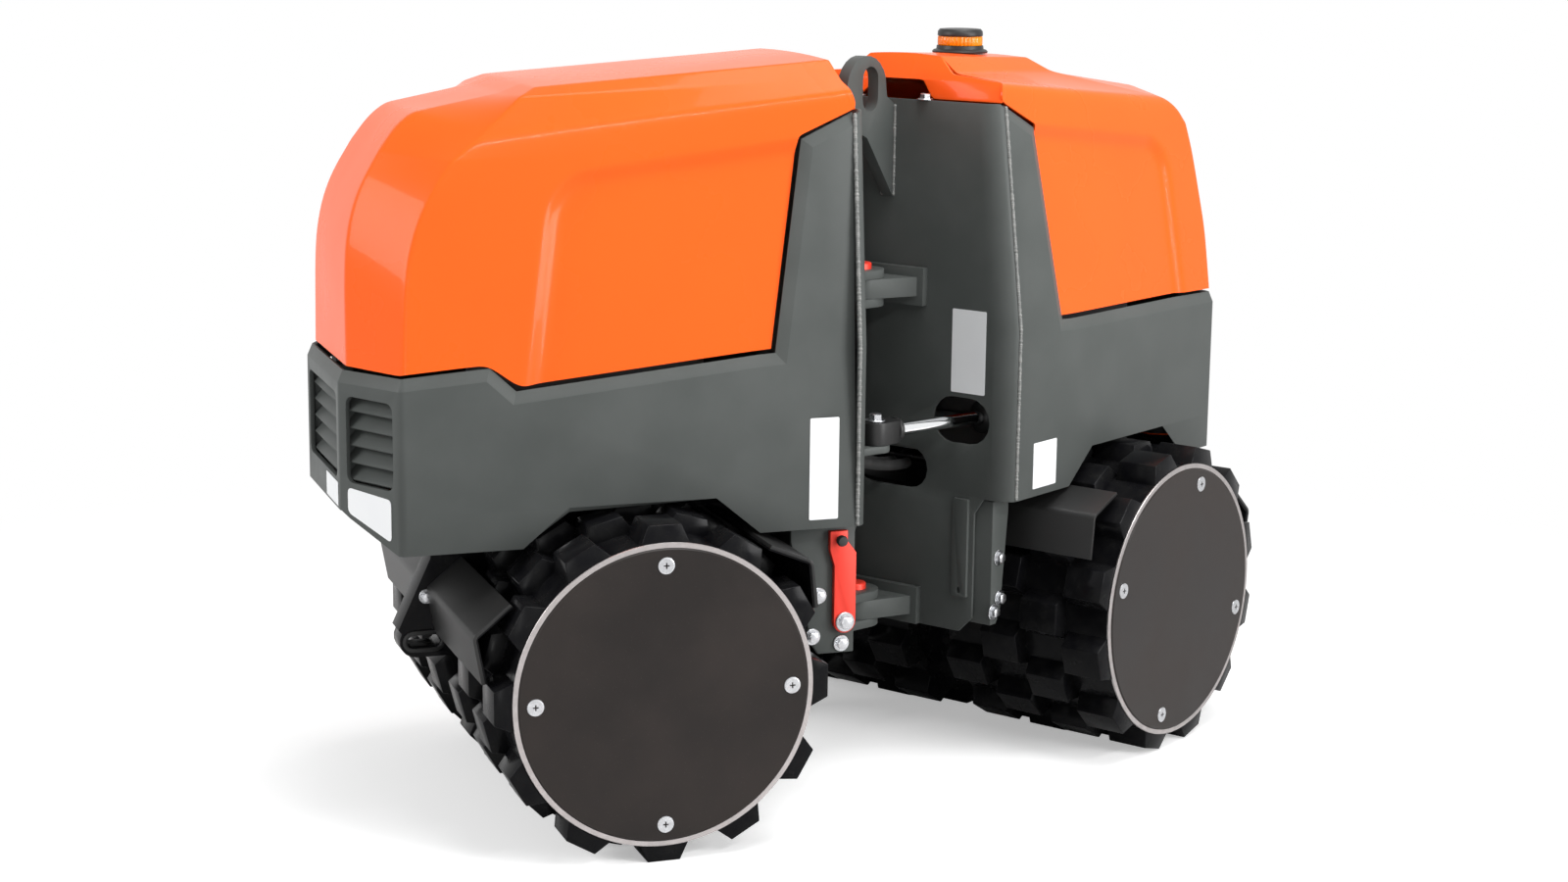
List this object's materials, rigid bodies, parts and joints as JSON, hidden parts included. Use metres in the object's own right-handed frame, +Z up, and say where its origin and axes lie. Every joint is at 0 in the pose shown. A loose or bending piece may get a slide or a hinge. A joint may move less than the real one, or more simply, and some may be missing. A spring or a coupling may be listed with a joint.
{
  "type": "trench roller",
  "caption": "Articulated remote-controlled trench roller with padfoot drums, steering cylinder, swing-up hoods, louvred ends, lifting eye and beacon.",
  "frame": {"origin": "middle of the bounding box at the ground, under the drums' lugs", "axes": "+X to the front half's end, +Y to the side seen in the picture, +Z up; the rear half is turned 32.35 degrees to that side"},
  "size_m": [1.933, 1.2128, 1.4072],
  "materials": {
    "hood": "glossy orange moulded hood",
    "chassis": "satin dark grey paint on folded plate",
    "gloss_black": "glossy black paint",
    "disc": "satin dark brown-grey paint",
    "rubber": "matt black",
    "lock_red": "satin red paint",
    "steel": "zinc plated",
    "chrome": "polished",
    "amber": "clear amber lens",
    "engine": "plain block"
  },
  "bodies": {
    "front_frame": {"front_shell": "chassis", "front_grille": "chassis", "front_hinge_wall": "chassis", "front_leg_box": "chassis", "front_deck": "chassis", "front_yoke": "gloss_black", "upper_hinge_pin": "lock_red", "lower_hinge_pin": "lock_red", "steering_lug": "steel", "lock_bar_bolt": "steel", "engine_block": "engine", "hose_1": "rubber", "hose_2": "rubber"},
    "rear_frame": {"rear_shell": "chassis", "rear_grille": "chassis", "rear_hinge_wall": "chassis", "rear_leg_box": "chassis", "rear_deck": "chassis", "rear_yoke": "gloss_black", "upper_hinge_eye": "chassis", "lower_hinge_eye": "chassis", "cylinder_stand": "chassis", "lifting_eye": "chassis", "tank_block": "engine"},
    "front_drum": {"front_drum_near": "gloss_black", "front_drum_far": "gloss_black", "front_disc_near": "disc", "front_disc_far": "disc", "front_axle": "steel"},
    "rear_drum": {"rear_drum_near": "gloss_black", "rear_drum_far": "gloss_black", "rear_disc_near": "disc", "rear_disc_far": "disc", "rear_axle": "steel"},
    "front_cover": {"front_hood": "hood"},
    "rear_cover": {"rear_hood": "hood", "beacon_base": "rubber", "beacon_lens": "amber", "beacon_cap": "rubber"},
    "lock": {"lock_bar": "lock_red"},
    "barrel": {"cylinder_barrel": "gloss_black"},
    "rod": {"cylinder_rod": "chrome"}
  },
  "joints": [
    {"name": "steering", "type": "hinge", "parent": "front_frame", "child": "rear_frame", "pos_m": [-0.0495, 0.1794, 0.627], "axis": [0, 0, 1], "range_deg": [-64.7, 0], "deforming": ["hose_1", "hose_2"]},
    {"name": "front_drum_spin", "type": "hinge", "parent": "front_frame", "child": "front_drum", "pos_m": [0.461, 0.1794, 0.301], "axis": [0, 1, 0], "continuous": true},
    {"name": "rear_drum_spin", "type": "hinge", "parent": "rear_frame", "child": "rear_drum", "pos_m": [-0.48077, -0.09376, 0.301], "axis": [0.5351, -0.8448, 0], "continuous": true},
    {"name": "front_hood_swing", "type": "hinge", "parent": "front_frame", "child": "front_cover", "pos_m": [0.9505, 0.1794, 0.7], "axis": [0, 1, 0], "range_deg": [0, 75]},
    {"name": "rear_hood_swing", "type": "hinge", "parent": "rear_frame", "child": "rear_cover", "pos_m": [-0.80729, -0.30058, 0.7], "axis": [0.5351, -0.8448, 0], "range_deg": [0, 75]},
    {"name": "lock_bar_swing", "type": "hinge", "parent": "front_frame", "child": "lock", "pos_m": [0.0705, 0.4357, 0.361], "axis": [0, -1, 0], "range_deg": [0, 90]},
    {"name": "barrel_swing", "type": "hinge", "parent": "rear_frame", "child": "barrel", "pos_m": [-0.48205, 0.18952, 0.69], "axis": [0, 0, 1], "range_deg": [0, 1]},
    {"name": "rod_slide", "type": "slide", "parent": "barrel", "child": "rod", "axis": [0.9451, 0.3267, 0], "range_m": [-0.1845, 0]}
  ],
  "couplings": [
    {"joint": "barrel_swing", "follows": "steering", "ratio": -0.0148},
    {"joint": "rod_slide", "follows": "steering", "m_per_rad": 0.16317}
  ]
}
